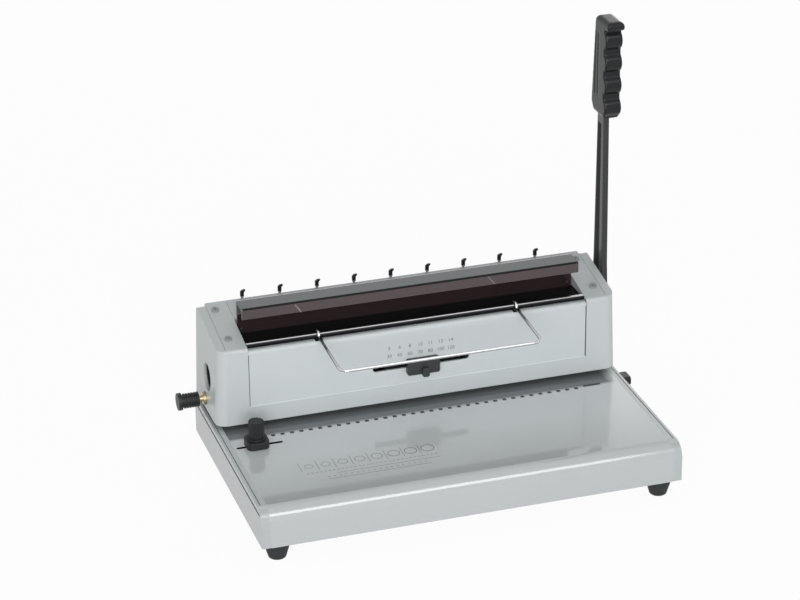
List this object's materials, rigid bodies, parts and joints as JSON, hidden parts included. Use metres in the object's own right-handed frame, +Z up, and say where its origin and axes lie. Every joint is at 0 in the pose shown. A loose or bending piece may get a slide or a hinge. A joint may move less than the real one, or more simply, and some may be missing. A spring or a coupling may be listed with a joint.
{
  "type": "wire_binding_machine",
  "caption": "Desk wire binding machine with a side lever that drives a hole punch and a wire closing jaw, on a flat base with edge guide, size selector, bail and chip drawer.",
  "frame": {"origin": "on the floor under the middle of the base", "axes": "+X to the right along the casing, towards the lever; +Y to the back; +Z up"},
  "size_m": [0.4612, 0.2525, 0.4126],
  "materials": {
    "casing_paint": "satin light grey enamel",
    "deck_paint": "glossy light grey enamel",
    "black_paint": "semi-gloss black enamel",
    "black_plastic": "moulded black",
    "rubber": "matte",
    "smoked_plate": "polished dark smoked red",
    "chrome": "bright plated",
    "brass": "turned",
    "steel": "ground",
    "zinc": "bright zinc plated"
  },
  "bodies": {
    "machine": {"base_deck": "deck_paint", "base_left_side": "deck_paint", "base_right_side": "deck_paint", "base_pan": "zinc", "rubber_feet": "rubber", "foot_screws": "zinc", "main_casing": "casing_paint", "front_panel": "casing_paint", "rear_cover": "casing_paint", "hook_rail": "black_plastic", "wire_hooks": "black_plastic", "casing_screws": "zinc", "rear_cover_screws": "zinc", "left_frame_plate": "steel", "right_frame_plate": "steel", "frame_tie_rods": "steel", "frame_screws": "zinc", "shaft_bushes": "brass", "die_plate": "steel", "die_spacer": "steel", "stripper_plate": "steel", "guide_pillars": "steel", "paper_guide_plate": "zinc", "lower_jaw": "black_paint", "lower_jaw_rod": "chrome", "drawer_runners": "zinc", "stop_screw_bush": "brass", "return_spring": "steel"},
    "lever": {"main_shaft": "steel", "shaft_collars": "steel", "punch_pinions": "steel", "jaw_pinions": "steel", "lever_hub": "black_plastic", "lever_arm": "black_paint", "lever_grip": "black_plastic", "hub_cap": "black_plastic"},
    "punch": {"punch_bar": "steel", "punch_pins": "steel", "punch_racks": "steel"},
    "jaw": {"upper_jaw": "smoked_plate", "jaw_racks": "steel", "jaw_stop_arm": "steel", "jaw_screws": "zinc"},
    "selector": {"selector_slider": "black_plastic", "selector_gauge": "zinc"},
    "guide": {"edge_guide": "black_plastic", "guide_clamp_plate": "zinc"},
    "clamp_knob": {"guide_knob": "black_plastic"},
    "bail": {"paper_bail": "chrome"},
    "drawer": {"chip_drawer": "black_plastic", "drawer_handle": "black_plastic"},
    "stop": {"side_stop": "steel"},
    "stop_drive": {"stop_screw": "brass", "stop_knob": "black_plastic"}
  },
  "joints": [
    {"name": "lever_turn", "type": "hinge", "parent": "machine", "child": "lever", "pos_m": [0.2125, 0.104, 0.10059], "axis": [1, 0, 0], "range_deg": [0, 90], "stiffness_Nm_per_rad": 0.6, "springref_deg": -57.3, "deforming": ["return_spring"]},
    {"name": "punch_slide", "type": "slide", "parent": "machine", "child": "punch", "axis": [0, 0, -1], "range_m": [0, 0.01415]},
    {"name": "jaw_slide", "type": "slide", "parent": "machine", "child": "jaw", "axis": [0, 0, -1], "range_m": [0, 0.01886]},
    {"name": "selector_slide", "type": "slide", "parent": "machine", "child": "selector", "axis": [1, 0, 0], "range_m": [-0.03, 0.03]},
    {"name": "edge_guide_slide", "type": "slide", "parent": "machine", "child": "guide", "axis": [1, 0, 0], "range_m": [-0.013, 0.016]},
    {"name": "clamp_knob_turn", "type": "hinge", "parent": "guide", "child": "clamp_knob", "pos_m": [-0.177, 0.0047, 0.07], "axis": [0, 0, 1], "range_deg": [0, 360]},
    {"name": "bail_lift", "type": "hinge", "parent": "machine", "child": "bail", "pos_m": [0, 0.051, 0.1399], "axis": [-1, 0, 0], "range_deg": [0, 100]},
    {"name": "drawer_slide", "type": "slide", "parent": "machine", "child": "drawer", "axis": [1, 0, 0], "range_m": [0, 0.25]},
    {"name": "side_screw_turn", "type": "hinge", "parent": "stop", "child": "stop_drive", "pos_m": [-0.2, 0.089, 0.071], "axis": [1, 0, 0], "range_deg": [-720.1, 720.1]},
    {"name": "side_stop_slide", "type": "slide", "parent": "machine", "child": "stop", "axis": [1, 0, 0], "range_m": [-0.003, 0.003]}
  ],
  "couplings": [
    {"joint": "punch_slide", "follows": "lever_turn", "m_per_rad": 0.009},
    {"joint": "jaw_slide", "follows": "lever_turn", "m_per_rad": 0.012},
    {"joint": "side_screw_turn", "follows": "side_stop_slide", "rad_per_m": 4188.8}
  ]
}
